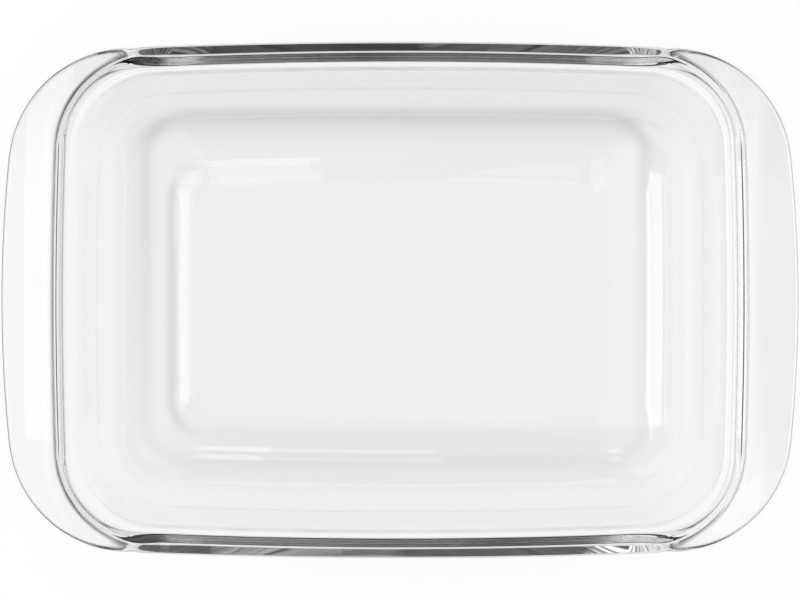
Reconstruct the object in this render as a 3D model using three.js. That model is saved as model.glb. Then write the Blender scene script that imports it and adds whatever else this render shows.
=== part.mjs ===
// Rectangular baking dish for an oven or air fryer, pressed in one piece from clear glass.
// Millimetres, +Z up, origin at the middle of the foot. Long sides run along X, the ends carry handles.
import * as THREE from 'three';

const { degToRad, lerp, smoothstep } = THREE.MathUtils;

// Opening: the outline of the inner wall at the top of the rim, before the rim is rounded
const openingLength = 190.9;
const openingWidth = 136.2;
const openingCornerRadius = 23;
const openingEndBow = degToRad(2.1); // turn of an end between its middle and its corner
const sideBow = degToRad(2.5); // the same for the long sides, at the opening and at the lip

// Walls and floor
const height = 58;
const wall = 4;
const floorThickness = 5;
const draft = degToRad(11); // lean of the walls
const innerFilletRadius = 28;
const outerFilletRadius = 32.5;
const cornerTightening = 0.45; // corner radius lost for each millimetre of inset towards the floor
const floorRing = 2; // flat ring between the floor's fillet and the floor's middle

// Foot: a flat bearing ring around an underside that rises a little to its middle
const footWidth = 4;
const pushUp = 0.2;

// Rim along the long sides: a bead, then a narrow undercut lip
const lip = {
  overhang: 2.3, // from the outer face of the wall to the edge
  bead: {
    width: 1.6,
    innerRadius: 1.05,
    outerRadius: 0.64,
    slope: degToRad(70), // fall of the outer side
    step: 1.5, // from the top down to the valley beside it
    valleyFillet: 1.9,
  },
  plate: {
    topSlope: degToRad(9),
    edgeHeight: 1.9,
    edgeLean: degToRad(5),
    edgeTopRadius: 0.7,
    edgeBottomRadius: 0.5,
    rootDepth: 7.7, // from the rim's top down to where the underside meets the wall
  },
  rootFillet: 5, // between the underside and the wall
};

// Rim at the ends: a broader bead, then a wing handle
const handle = {
  overhang: 15.5,
  bead: {
    width: 2.84,
    innerRadius: 2.55,
    outerRadius: 2.35,
    slope: degToRad(30),
    step: 1,
    valleyFillet: 5.2,
  },
  plate: {
    topSlope: degToRad(1.5),
    edgeHeight: 3.3,
    edgeLean: degToRad(6),
    edgeTopRadius: 1.6,
    edgeBottomRadius: 1.1,
    rootDepth: 8.4,
  },
  rootFillet: 7.5,
};
const handleCornerRadius = 35;
const handleEndBow = degToRad(5.8);

// Change from lip to handle: stretches along X, from the centre of the corner's arc
const plateTaper = { start: 2.5, end: 7.5 };
const beadTaper = { start: -3, end: 8 };
const rootTaper = { start: -16, end: 8 };
const waistDirection = degToRad(79); // the rim's normal where lip and handle meet
const waistTurn = degToRad(6); // half of the turn over which the edge dips there
const waistDepth = 0.7;

// Facets: steps on each arc of a quarter outline and on each arc of the section
const outlineSteps = { end: 3, corner: 22, side: 5 };
const sectionSteps = { innerFillet: 8, bead: 3, valley: 3, edge: 3, root: 4, outerFillet: 8 };
const undersideRings = 3;
const arcShare = 0.95; // the most of a straight side that its two arcs may take up

// Sizes that follow from the ones above
const wallAcross = wall / Math.cos(draft);
const wallBend = Math.tan((Math.PI / 2 - draft) / 2); // fillet's reach along the floor, per radius

// A closed outline with a bowed side, a round corner and a bowed end in each quarter, all tangent.
// It is read by the direction of its normal, in the first quarter.
class Outline {
  constructor(halfLength, halfWidth, cornerRadius, endBow) {
    const across = halfLength - cornerRadius;
    const along = halfWidth - cornerRadius;
    const endRise = 1 - Math.cos(endBow);
    const sideRise = 1 - Math.cos(sideBow);
    const det = Math.sin(sideBow) * Math.sin(endBow) - endRise * sideRise;
    const sideExtra = (across * Math.sin(endBow) - along * endRise) / det;
    const endExtra = (along * Math.sin(sideBow) - across * sideRise) / det;
    const sideRadius = sideExtra + cornerRadius;
    const endRadius = endExtra + cornerRadius;
    const cornerCentre = new THREE.Vector2(sideExtra * Math.sin(sideBow), endExtra * Math.sin(endBow));
    this.side = { centre: new THREE.Vector2(0, halfWidth - sideRadius), radius: sideRadius };
    this.end = { centre: new THREE.Vector2(halfLength - endRadius, 0), radius: endRadius };
    this.corner = { centre: cornerCentre, radius: cornerRadius };
    this.cornerStart = endBow;
    this.cornerEnd = Math.PI / 2 - sideBow;
  }

  arcAt(angle) {
    if (angle < this.cornerStart) return this.end;
    return angle > this.cornerEnd ? this.side : this.corner;
  }

  pointAt(angle) {
    const { centre, radius } = this.arcAt(angle);
    return direction(angle).multiplyScalar(radius).add(centre);
  }

  // Distance from a point inside to the outline, measured along a direction
  reachFrom(point, along) {
    const reach = Math.min(reachToCircle(point, along, this.side), reachToCircle(point, along, this.end));
    const hit = along.clone().multiplyScalar(reach).add(point);
    const sideEnd = this.pointAt(this.cornerEnd);
    const endEnd = this.pointAt(this.cornerStart);
    const inCorner = hit.x > sideEnd.x && hit.y > endEnd.y;
    return inCorner ? reachToCircle(point, along, this.corner) : reach;
  }
}

function direction(angle) {
  return new THREE.Vector2(Math.cos(angle), Math.sin(angle));
}

function reachToCircle(point, along, { centre, radius }) {
  const offset = point.clone().sub(centre);
  const towards = offset.dot(along);
  return Math.sqrt(towards * towards - offset.lengthSq() + radius * radius) - towards;
}

// Points of an arc in the section, from one direction to another
function arc(centre, radius, from, to, steps) {
  const points = [];
  for (let i = 0; i <= steps; i += 1) {
    points.push(direction(lerp(from, to, i / steps)).multiplyScalar(radius).add(centre));
  }
  return points;
}

// A corner of the section: x is the distance outside the opening, y is the height
function corner(x, y, radius = 0, steps = 0) {
  return { at: new THREE.Vector2(x, y), radius, steps };
}

// The path through corners with each one rounded by its radius, limited to the room on its two sides
function roundedPath(corners) {
  const sides = corners.slice(1).map(({ at }, i) => at.clone().sub(corners[i].at));
  const turns = sides.slice(1).map((side, i) => Math.atan2(sides[i].cross(side), sides[i].dot(side)));
  const turnAt = [0, ...turns, 0];
  const trims = corners.map(({ radius }, i) => radius * Math.tan(Math.abs(turnAt[i]) / 2));
  const fits = sides.map((side, i) => {
    const room = side.length() * arcShare;
    return room / Math.max(trims[i] + trims[i + 1], room);
  });
  return corners.flatMap(({ at, radius, steps }, i) => {
    if (radius === 0) return [at];
    const fit = Math.min(fits[i - 1], fits[i]);
    const heading = sides[i - 1].angle();
    const inward = (Math.sign(turnAt[i]) * Math.PI) / 2;
    const start = at.clone().sub(direction(heading).multiplyScalar(trims[i] * fit));
    const centre = direction(heading + inward).multiplyScalar(radius * fit).add(start);
    return arc(centre, radius * fit, heading - inward, heading - inward + turnAt[i], steps);
  });
}

// The opening's outline moved out by a distance, or in where the distance is negative
function ringOutline(out) {
  const cornerRadius = openingCornerRadius + (out > 0 ? out : out * cornerTightening);
  return new Outline(openingLength / 2 + out, openingWidth / 2 + out, cornerRadius, openingEndBow);
}

// How far the faces of the leaning wall lie outside the opening, at a height
function innerFace(z) {
  return (z - height) * Math.tan(draft);
}

function outerFace(z) {
  return innerFace(z) + wallAcross;
}

const opening = ringOutline(0);
const edgeOutline = new Outline(
  openingLength / 2 + wallAcross + handle.overhang,
  openingWidth / 2 + wallAcross + lip.overhang,
  handleCornerRadius,
  handleEndBow,
);

function blendSizes(from, to, share) {
  const sizes = {};
  for (const name of Object.keys(from)) sizes[name] = lerp(from[name], to[name], share);
  return sizes;
}

// Share of the handle's sizes in the rim's, growing along X over a taper
function handleShare(angle, { start, end }) {
  const cornerX = opening.corner.centre.x;
  return smoothstep(opening.pointAt(angle).x, cornerX + start, cornerX + end);
}

// Distance from the opening to the edge of lip or handle
function edgeAt(angle) {
  const dip = Math.max(0, 1 - ((angle - waistDirection) / waistTurn) ** 2);
  return edgeOutline.reachFrom(opening.pointAt(angle), direction(angle)) - waistDepth * dip * dip;
}

// Half section of the dish, from the edge of the inner floor over the rim to the foot
function sectionAt(angle) {
  const bead = blendSizes(lip.bead, handle.bead, handleShare(angle, beadTaper));
  const plate = blendSizes(lip.plate, handle.plate, handleShare(angle, plateTaper));
  const valleyX = bead.width + bead.step / Math.tan(bead.slope);
  const valleyZ = height - bead.step;
  const edge = edgeAt(angle);
  const edgeTopZ = valleyZ - (edge - valleyX) * Math.tan(plate.topSlope);
  const edgeBottomZ = edgeTopZ - plate.edgeHeight;
  const edgeBottomX = edge - plate.edgeHeight * Math.tan(plate.edgeLean);
  const rootZ = height - plate.rootDepth;
  const rootFillet = lerp(lip.rootFillet, handle.rootFillet, handleShare(angle, rootTaper));
  const floorEnd = innerFace(floorThickness) - innerFilletRadius * wallBend;
  const footStart = outerFace(0) - outerFilletRadius * wallBend;
  return roundedPath([
    corner(floorEnd - floorRing, floorThickness),
    corner(innerFace(floorThickness), floorThickness, innerFilletRadius, sectionSteps.innerFillet),
    corner(0, height, bead.innerRadius, sectionSteps.bead),
    corner(bead.width, height, bead.outerRadius, sectionSteps.bead),
    corner(valleyX, valleyZ, bead.valleyFillet, sectionSteps.valley),
    corner(edge, edgeTopZ, plate.edgeTopRadius, sectionSteps.edge),
    corner(edgeBottomX, edgeBottomZ, plate.edgeBottomRadius, sectionSteps.edge),
    corner(outerFace(rootZ), rootZ, rootFillet, sectionSteps.root),
    corner(outerFace(0), 0, outerFilletRadius, sectionSteps.outerFillet),
    corner(footStart - footWidth, 0),
  ]);
}

// Directions of the normal at the outline's points, over the first quarter
function quarterAngles() {
  const stops = [0, opening.cornerStart, opening.cornerEnd, Math.PI / 2];
  const counts = [outlineSteps.end, outlineSteps.corner, outlineSteps.side];
  const angles = [];
  counts.forEach((count, arcIndex) => {
    for (let i = 0; i < count; i += 1) angles.push(lerp(stops[arcIndex], stops[arcIndex + 1], i / count));
  });
  angles.push(Math.PI / 2);
  return angles;
}

// One section as points in space, in the first quarter, with the underside's rings after the foot
function columnAt(angle) {
  const column = sectionAt(angle).map(({ x, y }) => {
    const point = ringOutline(x).pointAt(angle);
    return new THREE.Vector3(point.x, point.y, y);
  });
  const foot = column.at(-1);
  for (let ring = undersideRings - 1; ring > 0; ring -= 1) {
    const share = ring / undersideRings;
    column.push(new THREE.Vector3(foot.x * share, foot.y * share, pushUp * (1 - share ** 2) ** 2));
  }
  return column;
}

// The columns all the way round: a quarter, then its mirror images in order
function allColumns() {
  const first = quarterAngles().map(columnAt);
  const mirrored = (columns, sx, sy) =>
    columns.map((column) => column.map((p) => new THREE.Vector3(sx * p.x, sy * p.y, p.z)));
  const back = first.slice(0, -1).reverse();
  return [
    ...first,
    ...mirrored(back, -1, 1),
    ...mirrored(first.slice(1), -1, -1),
    ...mirrored(back.slice(0, -1), 1, -1),
  ];
}

// A closed skin over the columns, with a centre point on the inner floor and one underneath
function dishGeometry() {
  const columns = allColumns();
  const rows = columns[0].length;
  const vertices = columns.flat();
  const floorCentre = vertices.push(new THREE.Vector3(0, 0, floorThickness)) - 1;
  const undersideCentre = vertices.push(new THREE.Vector3(0, 0, pushUp)) - 1;
  const index = [];
  columns.forEach((column, i) => {
    const here = i * rows;
    const next = ((i + 1) % columns.length) * rows;
    index.push(floorCentre, here, next);
    for (let row = 0; row < rows - 1; row += 1) {
      const a = here + row;
      const b = next + row;
      index.push(a, a + 1, b, b, a + 1, b + 1);
    }
    index.push(undersideCentre, next + rows - 1, here + rows - 1);
  });
  const geometry = new THREE.BufferGeometry().setFromPoints(vertices);
  geometry.setIndex(index);
  geometry.computeVertexNormals();
  return geometry;
}

const clearGlass = new THREE.MeshStandardMaterial({
  color: 0xeef2f0,
  roughness: 0.05,
  metalness: 0,
  transparent: true,
  opacity: 0.35,
});

const dish = new THREE.Mesh(dishGeometry(), clearGlass);
dish.name = 'glass_dish';

const part = new THREE.Group();
part.add(dish);

export default part;
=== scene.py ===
import math

import bpy
import numpy as np
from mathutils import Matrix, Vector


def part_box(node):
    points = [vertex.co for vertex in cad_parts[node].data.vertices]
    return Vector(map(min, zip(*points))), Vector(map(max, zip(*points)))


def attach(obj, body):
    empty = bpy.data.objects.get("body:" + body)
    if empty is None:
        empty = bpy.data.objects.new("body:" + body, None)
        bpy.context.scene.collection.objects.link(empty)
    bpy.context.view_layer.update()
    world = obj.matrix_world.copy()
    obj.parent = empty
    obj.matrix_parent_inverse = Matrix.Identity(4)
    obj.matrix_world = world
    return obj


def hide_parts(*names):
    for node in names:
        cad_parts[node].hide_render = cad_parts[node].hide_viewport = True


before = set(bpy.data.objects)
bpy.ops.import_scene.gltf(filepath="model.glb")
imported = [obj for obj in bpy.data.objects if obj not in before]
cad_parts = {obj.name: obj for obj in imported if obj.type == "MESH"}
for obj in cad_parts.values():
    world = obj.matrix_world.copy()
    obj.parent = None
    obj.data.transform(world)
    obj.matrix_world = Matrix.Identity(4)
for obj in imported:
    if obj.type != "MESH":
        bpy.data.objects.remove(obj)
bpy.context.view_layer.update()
mm = 0.001
quarter = math.pi / 2
tinySquare, tinyDepth = 1e-6, 1e-3  # keep divisions off zero

# one piece of pressed glass, in millimetres and degrees
dish = {
    "openingLength": 190.9,  # between the inner top edges
    "openingWidth": 136.2,
    "openingCorner": 23,
    "sideBow": 2.5,  # turn of a long side from its middle to its corner
    "openingEndBow": 2.1,  # the same for an end of the opening
    "handleEndBow": 5.8,  # and for a handle's edge
    "wall": 4.0,
    "floor": 5,
    "draft": 11,  # lean of the walls
    "innerFillet": 28,
    "outerFillet": 32.5,
    "cornerTightening": 0.45,  # corner radius lost per millimetre of inset
    "footWidth": 4,
    "pushUp": 0.2,  # rise of the underside at its middle
    "lipOverhang": 2.25,  # from the wall's outer face to the edge
    "handleOverhang": 15.45,
    "handleCorner": 35,
    "plateTaper": (-4, 11),  # lip grows into handle, along X from the centre of the corner's arc
    "beadTaper": (-3, 8),
    "rootTaper": (-16, 8),
    "waist": 0.35,  # dip of the edge where they meet
    "waistDirection": 79,  # the rim's normal there
    "waistTurn": 6,
    "lipBead": {
        "width": 1.6,
        "inner": 1.05,  # radius of its inner corner
        "outer": 0.64,
        "flank": 70,  # slope of its outer side
        "step": 1.5,  # fall to the valley
        "valley": 1.9,
    },
    "handleBead": {
        "width": 2.84,
        "inner": 2.55,
        "outer": 2.35,
        "flank": 30,
        "step": 1,
        "valley": 5.2,
    },
    "lip": {
        "topSlope": 9,
        "edgeHeight": 1.9,
        "edgeLean": 5,
        "edgeTop": 0.7,  # radius of the edge's upper corner
        "edgeBottom": 0.5,
        "rootDepth": 7.7,  # from the rim's top to where the underside meets the wall
    },
    "handle": {
        "topSlope": 1.5,
        "edgeHeight": 3.3,
        "edgeLean": 6,
        "edgeTop": 1.6,
        "edgeBottom": 1.1,
        "rootDepth": 8.4,
    },
    "rootFillet": (5, 7.5),  # between the underside and the wall, lip and handle
    "flare": {
        # of the inner wall, just under the rim
        "low": 8.5,  # down from the top
        "top": 4,
        "out": 0.42,
        "radius": 2.5,
    },
    "floorRing": 2,  # flat of the floor inside its round, before the rings to the middle
    "topClear": 0.01,  # kept free over the rim, so that the ripple stays inside the CAD box
    "arcRoom": 0.95,  # share of a side that the arcs at its ends may take
    "columns": {"end": 12, "corner": 72, "side": 22},  # in a quarter
    "arcSteps": {
        "innerFillet": 34,
        "flare": 6,
        "bead": 12,
        "valley": 10,
        "edge": 10,
        "root": 12,
        "outerFillet": 34,
    },
    "floorRings": 5,
    "underRings": 14,
    "weld": 0.002,
    "rippleSize": 28,  # ripples left by the mould, per metre
    "rippleHeight": 0.03,
    "rippleDetail": 1,
    "rippleSeed": 7,
}


def direction(angle):
    return np.array([math.cos(angle), math.sin(angle)])


def makeOutline(halfLength, halfWidth, corner, endBow):
    # bowed side, round corner and bowed end, tangent to each other, as (centre, radius)
    sideBow, endBow = math.radians(dish["sideBow"]), math.radians(endBow)
    turns = [
        [math.sin(sideBow), 1 - math.cos(endBow)],
        [1 - math.cos(sideBow), math.sin(endBow)],
    ]
    sideExtra, endExtra = np.linalg.solve(turns, [halfLength - corner, halfWidth - corner])
    return {
        "side": (np.array([0, halfWidth - sideExtra - corner]), sideExtra + corner),
        "end": (np.array([halfLength - endExtra - corner, 0]), endExtra + corner),
        "corner": (np.array([sideExtra * math.sin(sideBow), endExtra * math.sin(endBow)]), corner),
        "stops": (endBow, quarter - sideBow),  # directions where the corner starts and ends
    }


def outlinePoint(outline, angle):
    if angle < outline["stops"][0]:
        centre, radius = outline["end"]
    elif angle > outline["stops"][1]:
        centre, radius = outline["side"]
    else:
        centre, radius = outline["corner"]
    return centre + radius * direction(angle)


def reachToCircle(point, along, circle):
    centre, radius = circle
    offset = point - centre
    towards = offset @ along
    return math.sqrt(towards**2 - offset @ offset + radius**2) - towards


def reachToOutline(point, along, outline):
    reach = min(reachToCircle(point, along, outline[name]) for name in ("side", "end"))
    hit = point + reach * along
    endEnd, sideEnd = [outlinePoint(outline, stop) for stop in outline["stops"]]
    if hit[0] > sideEnd[0] and hit[1] > endEnd[1]:
        return reachToCircle(point, along, outline["corner"])
    return reach


def ringOutline(out, inset):
    # the opening's outline moved out; its corners tighten less over the inset, which is negative
    return makeOutline(
        dish["openingLength"] / 2 + out,
        dish["openingWidth"] / 2 + out,
        dish["openingCorner"] + out - inset * (1 - dish["cornerTightening"]),
        dish["openingEndBow"],
    )


def smoothStep(value, low, high):
    t = min(max((value - low) / (high - low), 0), 1)
    return t * t * (3 - 2 * t)


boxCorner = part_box("glass_dish")[1]  # of the CAD dish, in metres
height = boxCorner[2] / mm - dish["topClear"]
draft = math.radians(dish["draft"])
wallAcross = dish["wall"] / math.cos(draft)
edgeOutline = makeOutline(
    dish["openingLength"] / 2 + wallAcross + dish["handleOverhang"],
    dish["openingWidth"] / 2 + wallAcross + dish["lipOverhang"],
    dish["handleCorner"],
    dish["handleEndBow"],
)
opening = ringOutline(0, 0)


def innerFace(z):
    return (z - height) * math.tan(draft)


def outerFace(z):
    return innerFace(z) + wallAcross


def blendSizes(first, second, share):
    return {key: (1 - share) * first[key] + share * second[key] for key in first}


def handleShare(angle, taper):
    middle = opening["corner"][0][0]
    return smoothStep(outlinePoint(opening, angle)[0], middle + taper[0], middle + taper[1])


def edgeAt(angle):
    # distance from the opening to the edge of lip or handle
    start, turn = math.radians(dish["waistDirection"]), math.radians(dish["waistTurn"])
    dip = max(0, 1 - ((angle - start) / turn) ** 2)
    reach = reachToOutline(outlinePoint(opening, angle), direction(angle), edgeOutline)
    return reach - dish["waist"] * dip**2


def roundedPath(corners):
    # corners are (out, z, radius, steps); a radius shrinks where its sides are short
    points = np.array([corner[:2] for corner in corners], float)
    radii = np.array([corner[2] for corner in corners], float)
    lengths = np.hypot(*np.diff(points, axis=0).T)
    along = np.diff(points, axis=0) / lengths[:, None]
    headings = np.unwrap(np.arctan2(along[:, 1], along[:, 0]))
    turns = np.concatenate([[0], np.diff(headings), [0]])
    trims = radii * np.tan(np.abs(turns) / 2)
    room = dish["arcRoom"] * lengths
    fits = room / np.maximum(trims[:-1] + trims[1:], room)
    fits = np.minimum(np.append(1, fits), np.append(fits, 1))
    path = [points[0]]
    for i in range(1, len(corners) - 1):
        side = quarter if turns[i] > 0 else -quarter
        radius = radii[i] * fits[i]
        start = points[i] - along[i - 1] * trims[i] * fits[i]
        centre = start + radius * direction(headings[i - 1] + side)
        sweep = np.linspace(headings[i - 1], headings[i], corners[i][3] + 1) - side
        path += [centre + radius * direction(angle) for angle in sweep]
    return path + [points[-1]]


def sectionAt(angle):
    # half section from the floor over the rim to the foot
    steps, flare = dish["arcSteps"], dish["flare"]
    bead = blendSizes(dish["lipBead"], dish["handleBead"], handleShare(angle, dish["beadTaper"]))
    plate = blendSizes(dish["lip"], dish["handle"], handleShare(angle, dish["plateTaper"]))
    flank = bead["step"] / math.tan(math.radians(bead["flank"]))
    valley = (bead["width"] + flank, height - bead["step"])
    edge = edgeAt(angle)
    edgeTop = valley[1] - (edge - valley[0]) * math.tan(math.radians(plate["topSlope"]))
    edgeBottom = edgeTop - plate["edgeHeight"]
    edgeIn = edge - plate["edgeHeight"] * math.tan(math.radians(plate["edgeLean"]))
    root = height - plate["rootDepth"]
    rootFillet = np.interp(handleShare(angle, dish["rootTaper"]), (0, 1), dish["rootFillet"])
    flareLow, flareTop = height - flare["low"], height - flare["top"]
    bend = math.tan((quarter - draft) / 2)
    floorEnd = innerFace(dish["floor"]) - dish["innerFillet"] * bend
    footEnd = outerFace(0) - dish["outerFillet"] * bend - dish["footWidth"]
    return roundedPath(
        [
            (floorEnd - dish["floorRing"], dish["floor"], 0, 0),
            (innerFace(dish["floor"]), dish["floor"], dish["innerFillet"], steps["innerFillet"]),
            (innerFace(flareLow), flareLow, flare["radius"], steps["flare"]),
            (innerFace(flareTop) + flare["out"], flareTop, flare["radius"], steps["flare"]),
            (0, height, bead["inner"], steps["bead"]),
            (bead["width"], height, bead["outer"], steps["bead"]),
            (*valley, bead["valley"], steps["valley"]),
            (edge, edgeTop, plate["edgeTop"], steps["edge"]),
            (edgeIn, edgeBottom, plate["edgeBottom"], steps["edge"]),
            (outerFace(root), root, rootFillet, steps["root"]),
            (outerFace(0), 0, dish["outerFillet"], steps["outerFillet"]),
            (footEnd, 0, 0, 0),
        ]
    )


def quarterAngles():
    stops = [0, *opening["stops"], quarter]
    counts = [dish["columns"][name] for name in ("end", "corner", "side")]
    angles = [np.linspace(a, b, n, endpoint=False) for a, b, n in zip(stops, stops[1:], counts)]
    return np.append(np.concatenate(angles), quarter)


def columnAt(angle):
    # floor's middle, up the wall, over the rim, down to the foot and in to the middle
    steps = dish["arcSteps"]
    insideArcs = ("innerFillet", "flare", "flare", "bead")
    insideSteps = 1 + sum(steps[name] + 1 for name in insideArcs)  # points on the inner face
    ring = []
    for step, (out, z) in enumerate(sectionAt(angle)):
        inset = min(out, 0) if step < insideSteps else min(innerFace(z), out - wallAcross)
        ring.append((*outlinePoint(ringOutline(out, inset), angle), z))
    ring = np.array(ring)
    floorShare = np.linspace(0, 1, dish["floorRings"], endpoint=False)[:, None]
    flat = ring[0] * np.hstack([floorShare, floorShare, np.ones_like(floorShare)])
    underShare = np.linspace(1, 0, dish["underRings"] + 1)[1:, None]
    rise = dish["pushUp"] * (1 - underShare**2) ** 2
    under = np.hstack([ring[-1, :2] * underShare, rise])
    return np.vstack([flat, ring, under])


def quarterMesh():
    grid = np.array([columnAt(angle) for angle in quarterAngles()]) * mm
    count, rows = grid.shape[:2]
    faces = [
        (c * rows + r, c * rows + r + 1, (c + 1) * rows + r + 1, (c + 1) * rows + r)
        for c in range(count - 1)
        for r in range(rows - 1)
    ]
    mesh = bpy.data.meshes.new("quarter")
    mesh.from_pydata(grid.reshape(-1, 3).tolist(), [], faces)
    print("quarter:", count, "columns of", rows, "points")
    return mesh


def dishTree():
    # mirrors the quarter over both middle planes, welds the four and ripples the skin
    tree = bpy.data.node_groups.new("PressedDish", "GeometryNodeTree")
    sockets = {}
    for name, kind in (
        ("Geometry", "Geometry"),
        ("Weld Distance", "Float"),
        ("Ripple Size", "Float"),
        ("Ripple Height", "Float"),
        ("Ripple Seed", "Float"),
        ("Glass", "Material"),
    ):
        socket = tree.interface.new_socket(name, in_out="INPUT", socket_type="NodeSocket" + kind)
        sockets[name] = socket.identifier
    tree.interface.new_socket("Geometry", in_out="OUTPUT", socket_type="NodeSocketGeometry")
    nodes, links = tree.nodes, tree.links
    source = nodes.new("NodeGroupInput")
    whole = source.outputs["Geometry"]
    for scale in ((-1, 1, 1), (1, -1, 1)):
        turn = nodes.new("GeometryNodeTransform")
        turn.inputs["Scale"].default_value = scale
        flip = nodes.new("GeometryNodeFlipFaces")
        join = nodes.new("GeometryNodeJoinGeometry")
        links.new(whole, turn.inputs["Geometry"])
        links.new(turn.outputs[0], flip.inputs["Mesh"])
        links.new(flip.outputs[0], join.inputs[0])
        links.new(whole, join.inputs[0])
        whole = join.outputs[0]
    weld = nodes.new("GeometryNodeMergeByDistance")
    links.new(whole, weld.inputs["Geometry"])
    links.new(source.outputs["Weld Distance"], weld.inputs["Distance"])
    ripple = nodes.new("ShaderNodeTexNoise")
    ripple.noise_dimensions = "4D"
    ripple.inputs["Detail"].default_value = dish["rippleDetail"]
    links.new(source.outputs["Ripple Size"], ripple.inputs["Scale"])
    links.new(source.outputs["Ripple Seed"], ripple.inputs["W"])
    inward = nodes.new("ShaderNodeMath")
    inward.operation = "MULTIPLY"
    links.new(ripple.outputs[0], inward.inputs[0])
    links.new(source.outputs["Ripple Height"], inward.inputs[1])
    normal = nodes.new("GeometryNodeInputNormal")
    push = nodes.new("ShaderNodeVectorMath")
    push.operation = "SCALE"
    links.new(normal.outputs[0], push.inputs[0])
    links.new(inward.outputs[0], push.inputs["Scale"])
    move = nodes.new("GeometryNodeSetPosition")
    links.new(weld.outputs[0], move.inputs["Geometry"])
    links.new(push.outputs[0], move.inputs["Offset"])
    smooth = nodes.new("GeometryNodeSetShadeSmooth")
    real = nodes.new("GeometryNodeRealizeInstances")
    paint = nodes.new("GeometryNodeSetMaterial")
    target = nodes.new("NodeGroupOutput")
    links.new(move.outputs[0], smooth.inputs["Geometry"])
    links.new(smooth.outputs[0], real.inputs[0])
    links.new(real.outputs[0], paint.inputs["Geometry"])
    links.new(source.outputs["Glass"], paint.inputs["Material"])
    links.new(paint.outputs[0], target.inputs[0])
    return tree, sockets


def plainMesh(obj, name):
    evaluated = obj.evaluated_get(bpy.context.evaluated_depsgraph_get())
    mesh = bpy.data.meshes.new_from_object(evaluated)
    mesh.name = name
    obj.modifiers.clear()
    obj.data = mesh


def makeDish(material):
    piece = bpy.data.objects.new("pressed_glass_dish", quarterMesh())
    bpy.context.scene.collection.objects.link(piece)
    tree, sockets = dishTree()
    press = piece.modifiers.new("press", "NODES")
    press.node_group = tree
    press[sockets["Weld Distance"]] = dish["weld"] * mm
    press[sockets["Ripple Size"]] = float(dish["rippleSize"])
    press[sockets["Ripple Height"]] = -dish["rippleHeight"] * mm  # never outside the mould
    press[sockets["Ripple Seed"]] = float(dish["rippleSeed"])
    press[sockets["Glass"]] = material
    plainMesh(piece, "pressed_glass_dish")
    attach(piece, "root")
    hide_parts("glass_dish")
    print("dish:", len(piece.data.polygons), "faces")
    return piece


def rangeNode(tree, value, fromRange, toRange=(0, 1), smooth=False):
    node = tree.nodes.new("ShaderNodeMapRange")
    node.interpolation_type = "SMOOTHSTEP" if smooth else "LINEAR"
    names = ("From Min", "From Max", "To Min", "To Max")
    for name, limit in zip(names, (*fromRange, *toRange)):
        node.inputs[name].default_value = limit
    tree.links.new(value, node.inputs["Value"])
    return node.outputs[0]


glass = {
    "ior": 1.5,
    "tint": (1.0, 1.0, 1.0, 1),
    "roughness": (0.0, 0.01),
    "waveScale": 60,  # fine waviness of the fire-polished skin, per metre
    "waveHeight": 0.00002,
    "waveDetail": 1,
    "absorption": (0.83, 0.86, 0.85, 1),
    "absorptionDensity": 5.0,
}


def glassMaterial():
    material = bpy.data.materials.new("clearPressedGlass")
    material.use_nodes = True
    nodes, links = material.node_tree.nodes, material.node_tree.links
    shader = nodes["Principled BSDF"]
    output = nodes["Material Output"]
    shader.inputs["Base Color"].default_value = glass["tint"]
    shader.inputs["Transmission Weight"].default_value = 1
    shader.inputs["IOR"].default_value = glass["ior"]
    coords = nodes.new("ShaderNodeTexCoord")
    noise = nodes.new("ShaderNodeTexNoise")
    noise.inputs["Scale"].default_value = glass["waveScale"]
    noise.inputs["Detail"].default_value = glass["waveDetail"]
    links.new(coords.outputs["Object"], noise.inputs["Vector"])
    polish = rangeNode(material.node_tree, noise.outputs[0], (0, 1), glass["roughness"])
    links.new(polish, shader.inputs["Roughness"])
    bump = nodes.new("ShaderNodeBump")
    bump.inputs["Distance"].default_value = glass["waveHeight"]
    links.new(noise.outputs[0], bump.inputs["Height"])
    links.new(bump.outputs["Normal"], shader.inputs["Normal"])
    absorb = nodes.new("ShaderNodeVolumeAbsorption")
    absorb.inputs["Color"].default_value = glass["absorption"]
    absorb.inputs["Density"].default_value = glass["absorptionDensity"]
    links.new(absorb.outputs["Volume"], output.inputs["Volume"])
    print("glass: absorption", glass["absorptionDensity"], "per metre")
    return material


camera = {
    "distance": 830,  # from the handles' height, millimetres
    "frameWidth": 230.7,  # width of the picture at that height
    "level": 54,
    "sensor": 36,
    "clipStart": 0.01,
}


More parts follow.
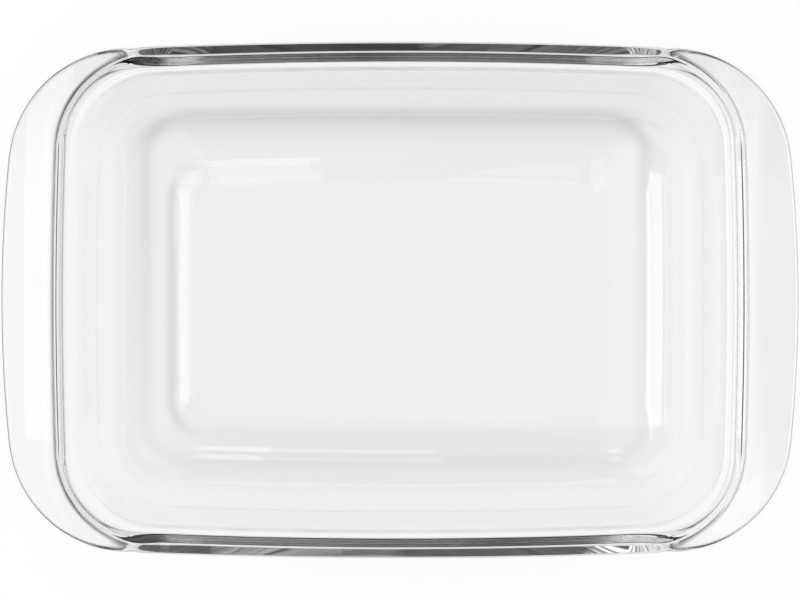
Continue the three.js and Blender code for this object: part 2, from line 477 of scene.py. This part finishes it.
studio = {
    "floorSize": 24.0,
    "floorDrop": 0.2,  # millimetres under the foot
    "floorGlow": 0.93,  # share of the floor's white that takes no shadow
    "floorColour": (0.95, 0.95, 0.95, 1),
    "floorRoughness": 0.9,
    "pool": (1.0, 1.5),  # the floor's white, as mirrored, fades into the painted reflection tones between these, in half sizes of the dish
    "dimLeft": 0.9,  # painted reflection tone of the studio, at the dish's two ends
    "dimRight": 0.03,
    "dimSkin": (0.05, 0.9),  # painted reflection tones, left and right, as the outer skin mirrors them
    "dimTurn": (0.02, 0.25),  # squared sine of the turn from across to the ends
    "cardReach": 0.1,  # painted dark cards beside the long sides, seen only in reflections, over this slope each way
    "cards": {
        # painted reflection tones of the cards, in front and at the back, (place, tone) from left
        # to right
        "table": (
            ((0.16, 0.10), (0.18, 0.02), (0.54, 0.02), (0.57, 0.07), (0.9, 0.07), (0.92, 0.35)),
            ((0.16, 0.03), (0.19, 0.19), (0.48, 0.17), (0.51, 0.03), (0.82, 0.03), (0.84, 0.6)),
        ),
        "wall": (
            ((0.16, 0.03), (0.19, 0.16), (0.48, 0.16), (0.51, 0.02), (0.82, 0.02), (0.84, 0.5)),
            ((0.16, 0.10), (0.18, 0.03), (0.49, 0.03), (0.52, 0.06), (0.9, 0.06), (0.92, 0.3)),
        ),
    },
    "streaks": (0.0, 2.2),  # painted thin lines in the reflected cards: darkest and lightest
    "streakRange": (0.35, 0.65),  # noise values that give those two
    "streakScale": {"table": 26, "wall": 50},
    "deepTone": 0.2,  # painted shade: darker tone of the table through more than two layers of glass
    "deepSkins": 4.5,  # skins of glass crossed by then
    "ceiling": 1.3,  # painted bright reflection overhead, in the world for reflections only, as the outer skin mirrors it
    "ceilingEdge": (0.2, 0.7),  # sine of the elevation where the ceiling starts and is full
    "ceilingSides": ((0, 0.4), (0.12, 1), (0.62, 1), (0.68, 0)),  # its share from front to back
    "ceilingInside": 0.5,  # the same painted reflection, as the underside mirrors it
    "insideEdge": (0.985, 0.993),
    "shade": {
        # painted soft shadow on the table under the round of floor and walls, in millimetres
        "middle": (-1.5, 4),
        "half": (77.5, 55),
        "corner": 15,
        "inner": (3.5, 2.5),  # width towards the middle, at the long sides and at the ends
        "turn": 8,
        "outer": 3,  # width outwards
        "depth": 0.11,
        "depthBack": 0.06,  # more at the back, less in front
        "footHalf": (70.5, 42),  # painted thin line of shade beside the foot, at the left
        "footCorner": 12,
        "footWidth": 1.8,
        "footDepth": 0.15,
        "footFade": ((0.02, 1), (0.13, 0)),  # (place, share) from its left end to the middle
        "dishHalf": (122, 79),  # painted shadow of the whole dish
        "dishCorner": 38,
        "dishSoft": 6,
        "along": (
            # (place, depth of the painted shade) from left to right
            (0.09, 0.02),
            (0.11, 0.04),
            (0.16, 0.08),
            (0.84, 0.08),
            (0.87, 0.05),
            (0.91, 0.05),
            (0.93, 0.16),
        ),
        "back": 0.07,  # painted shade, deeper behind the back wall
        "backTurn": 6,  # power of its rise towards the back
    },
    "softboxes": (
        # name, centre, size, radiance; all hang level and face down
        ("softboxLeft", (-0.56, 0.0, 0.30), (0.56, 0.19), 1.6),
        ("softboxHandle", (-0.121, 0.02, 0.15), (0.020, 0.13), 1.3),
        ("softboxRight", (0.20, 0.0, 1.0), (0.12, 0.20), 1.5),
        ("softboxHigh", (0.425, -0.07, 3.0), (0.29, 0.50), 1.3),
        ("softboxWide", (0.895, -0.07, 3.0), (0.29, 0.50), 0.45),
        ("softboxEdge", (1.22, 0.15, 3.0), (0.36, 0.20), 0.7),
        ("softboxCorner", (0.74, -0.76, 3.0), (0.92, 0.88), 1.0),
        ("softboxFront", (-0.178, -0.515, 3.0), (0.165, 0.47), 0.95),
        ("softboxFrontMiddle", (-0.178, -1.075, 3.0), (0.165, 0.65), 0.55),
        ("softboxFrontFar", (-0.203, -1.725, 3.0), (0.215, 0.65), 1.2),
        ("stripNear", (-0.09, 0.459, 0.5), (0.07, 0.103), 1.5),
        ("stripNearEnd", (-0.02, 0.459, 0.5), (0.07, 0.07), 0.8),
        ("stripFar", (-0.104, 0.697, 0.5), (0.082, 0.193), 1.3),
        ("stripFarEnd", (-0.022, 0.697, 0.5), (0.082, 0.12), 0.6),
    ),
}


def mathNode(tree, operation, first, second):
    node = tree.nodes.new("ShaderNodeMath")
    node.operation = operation
    for socket, value in zip(node.inputs, (first, second)):
        if isinstance(value, (int, float)):
            socket.default_value = value
        else:
            tree.links.new(value, socket)
    return node.outputs[0]


def whiteRays(tree, path):
    # 1 for rays that show the background itself: camera, mirror and glass
    seen = mathNode(tree, "MAXIMUM", path.outputs["Is Camera Ray"], path.outputs["Is Glossy Ray"])
    return mathNode(tree, "MAXIMUM", seen, path.outputs["Is Transmission Ray"])


def mixNode(tree, share, low, high):
    node = tree.nodes.new("ShaderNodeMapRange")
    for name, value in (("Value", share), ("To Min", low), ("To Max", high)):
        if isinstance(value, (int, float)):
            node.inputs[name].default_value = value
        else:
            tree.links.new(value, node.inputs[name])
    return node.outputs[0]


def rampNode(tree, value, start, end, stops):
    # grey tones between two values, as (place, tone)
    ramp = tree.nodes.new("ShaderNodeValToRGB")
    elements = ramp.color_ramp.elements
    while len(elements) < len(stops):
        elements.new(1)
    for element, (place, tone) in zip(elements, stops):
        element.position, element.color = place, (tone, tone, tone, 1)
    tree.links.new(rangeNode(tree, value, (start, end)), ramp.inputs["Fac"])
    return ramp.outputs["Color"]


def paintedCardReflection(tree, place, slope, back, level):
    # painted reflection: tone of dark cards in front and at the back, seen only in reflections, by
    # the slope along them, in thin level streaks
    reach = studio["cardReach"]
    tones = [rampNode(tree, slope, -reach, reach, stops) for stops in studio["cards"][place]]
    noise = tree.nodes.new("ShaderNodeTexNoise")
    noise.noise_dimensions = "1D"
    noise.inputs["Scale"].default_value = studio["streakScale"][place]
    tree.links.new(level, noise.inputs["W"])
    streak = rangeNode(tree, noise.outputs[0], studio["streakRange"], studio["streaks"])
    tone = mixNode(tree, mathNode(tree, "GREATER_THAN", back, 0), *tones)
    return mathNode(tree, "MULTIPLY", tone, streak)


def paintedStudioReflection(tree, across, along, right, sides):
    # painted reflection tone of the studio around: cards straight across the dish and another tone
    # at each end
    acrossSquare = mathNode(tree, "MULTIPLY", across, across)
    alongSquare = mathNode(tree, "MULTIPLY", along, along)
    total = mathNode(tree, "ADD", mathNode(tree, "ADD", acrossSquare, alongSquare), tinySquare)
    share = mathNode(tree, "DIVIDE", alongSquare, total)
    turn = rangeNode(tree, share, studio["dimTurn"], smooth=True)
    toRight = mathNode(tree, "GREATER_THAN", right, 0)
    ends = mixNode(tree, toRight, studio["dimLeft"], studio["dimRight"])
    skin = mixNode(tree, toRight, *studio["dimSkin"])
    path = tree.nodes.new("ShaderNodeLightPath")
    inside = mathNode(tree, "MINIMUM", path.outputs["Transmission Depth"], 1)
    return mixNode(tree, turn, sides, mixNode(tree, inside, skin, ends))


def rectangleGap(tree, x, y, middle, half, corner):
    # distance outside a rounded rectangle, negative inside it
    gaps = []
    for value, centre, reach in zip((x, y), middle, half):
        away = mathNode(tree, "ABSOLUTE", mathNode(tree, "SUBTRACT", value, centre * mm), 0)
        gaps.append(mathNode(tree, "SUBTRACT", away, (reach - corner) * mm))
    outside = [mathNode(tree, "POWER", mathNode(tree, "MAXIMUM", gap, 0), 2) for gap in gaps]
    reach = mathNode(tree, "POWER", mathNode(tree, "ADD", *outside), 0.5)
    inside = mathNode(tree, "MINIMUM", mathNode(tree, "MAXIMUM", *gaps), 0)
    return mathNode(tree, "SUBTRACT", mathNode(tree, "ADD", reach, inside), corner * mm)


def bellNode(tree, value):
    square = mathNode(tree, "MULTIPLY", mathNode(tree, "POWER", value, 2), -1)
    return mathNode(tree, "POWER", math.e, square)


def ringShade(tree, x, y, back):
    # painted shade on the table under the round of floor and walls, narrower at the ends
    shade = studio["shade"]
    gap = rectangleGap(tree, x, y, shade["middle"], shade["half"], shade["corner"])
    sideways = []
    for value, middle, half in zip((x, y), shade["middle"], shade["half"]):
        away = mathNode(tree, "ABSOLUTE", mathNode(tree, "SUBTRACT", value, middle * mm), 0)
        sideways.append(mathNode(tree, "SUBTRACT", away, half * mm))
    towardsEnds = mathNode(tree, "SUBTRACT", *sideways)
    turn = shade["turn"] * mm
    widths = [-size * mm for size in shade["inner"]]
    width = rangeNode(tree, towardsEnds, (-turn, turn), widths, smooth=True)
    inner = mathNode(tree, "DIVIDE", mathNode(tree, "MINIMUM", gap, 0), width)
    outer = mathNode(tree, "DIVIDE", mathNode(tree, "MAXIMUM", gap, 0), shade["outer"] * mm)
    deeper = mathNode(tree, "MULTIPLY", back, shade["depthBack"])
    depth = mathNode(tree, "ADD", deeper, shade["depth"])
    return mathNode(tree, "MULTIPLY", depth, bellNode(tree, mathNode(tree, "ADD", inner, outer)))


def paintedFootShade(tree, x, y):
    # painted thin line of shade on the table beside the foot, fading towards the middle
    shade = studio["shade"]
    gap = rectangleGap(tree, x, y, (0, 0), shade["footHalf"], shade["footCorner"])
    line = bellNode(tree, mathNode(tree, "DIVIDE", gap, shade["footWidth"] * mm))
    left = rampNode(tree, x, -shade["footHalf"][0] * mm, 0, shade["footFade"])
    return mathNode(tree, "MULTIPLY", mathNode(tree, "MULTIPLY", line, left), shade["footDepth"])


def wholeShade(tree, x, y, back):
    # painted shadow of the whole dish on the table, deeper towards the back
    shade = studio["shade"]
    reach = shade["dishHalf"][0] * mm
    along = rampNode(tree, x, -reach, reach, shade["along"])
    behind = mathNode(tree, "POWER", mathNode(tree, "MAXIMUM", back, 0), shade["backTurn"])
    whole = mathNode(tree, "ADD", along, mathNode(tree, "MULTIPLY", behind, shade["back"]))
    gap = rectangleGap(tree, x, y, (0, 0), shade["dishHalf"], shade["dishCorner"])
    fade = rangeNode(tree, gap, (0, -shade["dishSoft"] * mm), smooth=True)
    return mathNode(tree, "MULTIPLY", whole, fade)


def shadeTone(tree, x, y):
    # painted shade of the dish on the table: even under all of it, deeper under the round and at
    # the foot
    back = mathNode(tree, "DIVIDE", y, studio["shade"]["half"][1] * mm)
    back = mathNode(tree, "MAXIMUM", mathNode(tree, "MINIMUM", back, 1), -1)
    ring = mathNode(tree, "SUBTRACT", 1, ringShade(tree, x, y, back))
    ring = mathNode(tree, "SUBTRACT", ring, paintedFootShade(tree, x, y))
    whole = mathNode(tree, "SUBTRACT", 1, wholeShade(tree, x, y, back))
    return mathNode(tree, "MULTIPLY", ring, whole)


def makeFloor():
    half = studio["floorSize"] / 2
    under = -studio["floorDrop"] * mm
    mesh = bpy.data.meshes.new("floor")
    signs = ((-1, -1), (1, -1), (1, 1), (-1, 1))
    corners = [(half * x, half * y, under) for x, y in signs]
    mesh.from_pydata(corners, [], [(0, 1, 2, 3)])
    floor = bpy.data.objects.new("floor", mesh)
    bpy.context.scene.collection.objects.link(floor)
    material = bpy.data.materials.new("whiteTable")
    material.use_nodes = True
    material.cycles.emission_sampling = "NONE"
    tree = material.node_tree
    nodes, links = tree.nodes, tree.links
    shader = nodes["Principled BSDF"]
    shader.inputs["Base Color"].default_value = studio["floorColour"]
    shader.inputs["Roughness"].default_value = studio["floorRoughness"]
    shader.inputs["Specular IOR Level"].default_value = 0
    place = nodes.new("ShaderNodeSeparateXYZ")
    coords = nodes.new("ShaderNodeTexCoord")
    links.new(coords.outputs["Object"], place.inputs[0])
    along, across = place.outputs["X"], place.outputs["Y"]
    alongSize = mathNode(tree, "DIVIDE", mathNode(tree, "ABSOLUTE", along, 0), boxCorner[0])
    acrossSize = mathNode(tree, "DIVIDE", mathNode(tree, "ABSOLUTE", across, 0), boxCorner[1])
    cornerStart = opening["corner"][0] * mm / boxCorner[:2]
    farthest = mathNode(tree, "MAXIMUM", alongSize, acrossSize)
    fade = rangeNode(tree, farthest, studio["pool"], smooth=True)
    path = nodes.new("ShaderNodeLightPath")
    glow = nodes.new("ShaderNodeEmission")
    mirrored = mathNode(tree, "MINIMUM", path.outputs["Glossy Depth"], 1)
    past = [
        mathNode(tree, "MAXIMUM", mathNode(tree, "SUBTRACT", size, start), 0)
        for size, start in ((acrossSize, cornerStart[1]), (alongSize, cornerStart[0]))
    ]
    away = mathNode(tree, "ABSOLUTE", across, 0)
    depth = mathNode(tree, "ADD", away, camera["distance"] * mm - boxCorner[1])
    level = mathNode(tree, "LOGARITHM", away, math.e)
    # painted dark cards on the floor, which only reflections see
    sides = paintedCardReflection(tree, "table", mathNode(tree, "DIVIDE", along, depth), across, level)
    # mirrored floor: white near the dish, fading into the painted reflection tones
    pool = mixNode(tree, fade, 1, paintedStudioReflection(tree, *past, along, sides))
    # painted shade: the table darker through more than two layers of glass
    deep = mathNode(tree, "GREATER_THAN", path.outputs["Transmission Depth"], studio["deepSkins"])
    tone = mixNode(tree, deep, mixNode(tree, mirrored, 1, pool), studio["deepTone"])
    # painted shadow of the dish on the table
    tone = mathNode(tree, "MULTIPLY", tone, shadeTone(tree, along, across))
    links.new(tone, glow.inputs["Strength"])
    mix = nodes.new("ShaderNodeMixShader")
    white = mathNode(tree, "MULTIPLY", whiteRays(tree, path), studio["floorGlow"])
    links.new(white, mix.inputs["Fac"])
    links.new(shader.outputs[0], mix.inputs[1])
    links.new(glow.outputs[0], mix.inputs[2])
    links.new(mix.outputs[0], nodes["Material Output"].inputs["Surface"])
    mesh.materials.append(material)
    print("floor:", studio["floorSize"], "m")


def makeWorld():
    world = bpy.data.worlds.new("studio")
    bpy.context.scene.world = world
    world.use_nodes = True
    tree = world.node_tree
    nodes, links = tree.nodes, tree.links
    background = nodes["Background"]
    background.inputs["Color"].default_value = (1, 1, 1, 1)
    path = nodes.new("ShaderNodeLightPath")
    place = nodes.new("ShaderNodeSeparateXYZ")
    coords = nodes.new("ShaderNodeTexCoord")
    links.new(coords.outputs["Generated"], place.inputs[0])
    along, across, up = [place.outputs[axis] for axis in "XYZ"]
    rise = rangeNode(tree, up, studio["ceilingEdge"], smooth=True)
    depth = mathNode(tree, "MAXIMUM", mathNode(tree, "ABSOLUTE", across, 0), tinyDepth)
    # painted dark cards in the world, which only reflections see
    sides = paintedCardReflection(tree, "wall", mathNode(tree, "DIVIDE", along, depth), across, up)
    around = paintedStudioReflection(tree, across, along, along, sides)
    outerSkin = mathNode(tree, "LESS_THAN", path.outputs["Transmission Depth"], 1)
    # painted bright ceiling, seen only in reflections off the outer skin
    lean = rampNode(tree, across, -1, 1, studio["ceilingSides"])
    share = mathNode(tree, "MULTIPLY", mathNode(tree, "MULTIPLY", rise, outerSkin), lean)
    overhead = rangeNode(tree, up, studio["insideEdge"], smooth=True)
    around = mixNode(tree, overhead, around, studio["ceilingInside"])
    around = mixNode(tree, share, around, studio["ceiling"])
    mirrored = mathNode(tree, "MINIMUM", path.outputs["Glossy Depth"], 1)
    links.new(mixNode(tree, mirrored, 1, around), background.inputs["Strength"])
    print("world: reflections", studio["dimLeft"], "left,", studio["dimRight"], "right")


def makeSoftboxes():
    for name, place, size, radiance in studio["softboxes"]:
        lamp = bpy.data.lights.new(name, "AREA")
        lamp.shape = "RECTANGLE"
        lamp.size, lamp.size_y = size
        lamp.energy = radiance * math.pi * size[0] * size[1]
        obj = bpy.data.objects.new(name, lamp)
        obj.location = place
        obj.visible_camera = False
        bpy.context.scene.collection.objects.link(obj)
    print("lamps:", len(studio["softboxes"]))


def makeCamera():
    data = bpy.data.cameras.new("camera")
    data.sensor_width = camera["sensor"]
    data.lens = data.sensor_width * camera["distance"] / camera["frameWidth"]
    data.clip_start = camera["clipStart"]
    obj = bpy.data.objects.new("camera", data)
    obj.location = (0, 0, (camera["level"] + camera["distance"]) * mm)
    bpy.context.scene.collection.objects.link(obj)
    bpy.context.scene.camera = obj


lightBounces = {"max_bounces": 24, "transmission_bounces": 24, "glossy_bounces": 12}

scene = bpy.context.scene
scene.view_settings.view_transform = "Standard"
for name, count in lightBounces.items():
    setattr(scene.cycles, name, count)
scene.cycles.caustics_refractive = False  # the floor keeps the dish's shadow
scene.cycles.caustics_reflective = False
makeDish(glassMaterial())
makeFloor()
makeWorld()
makeSoftboxes()
makeCamera()
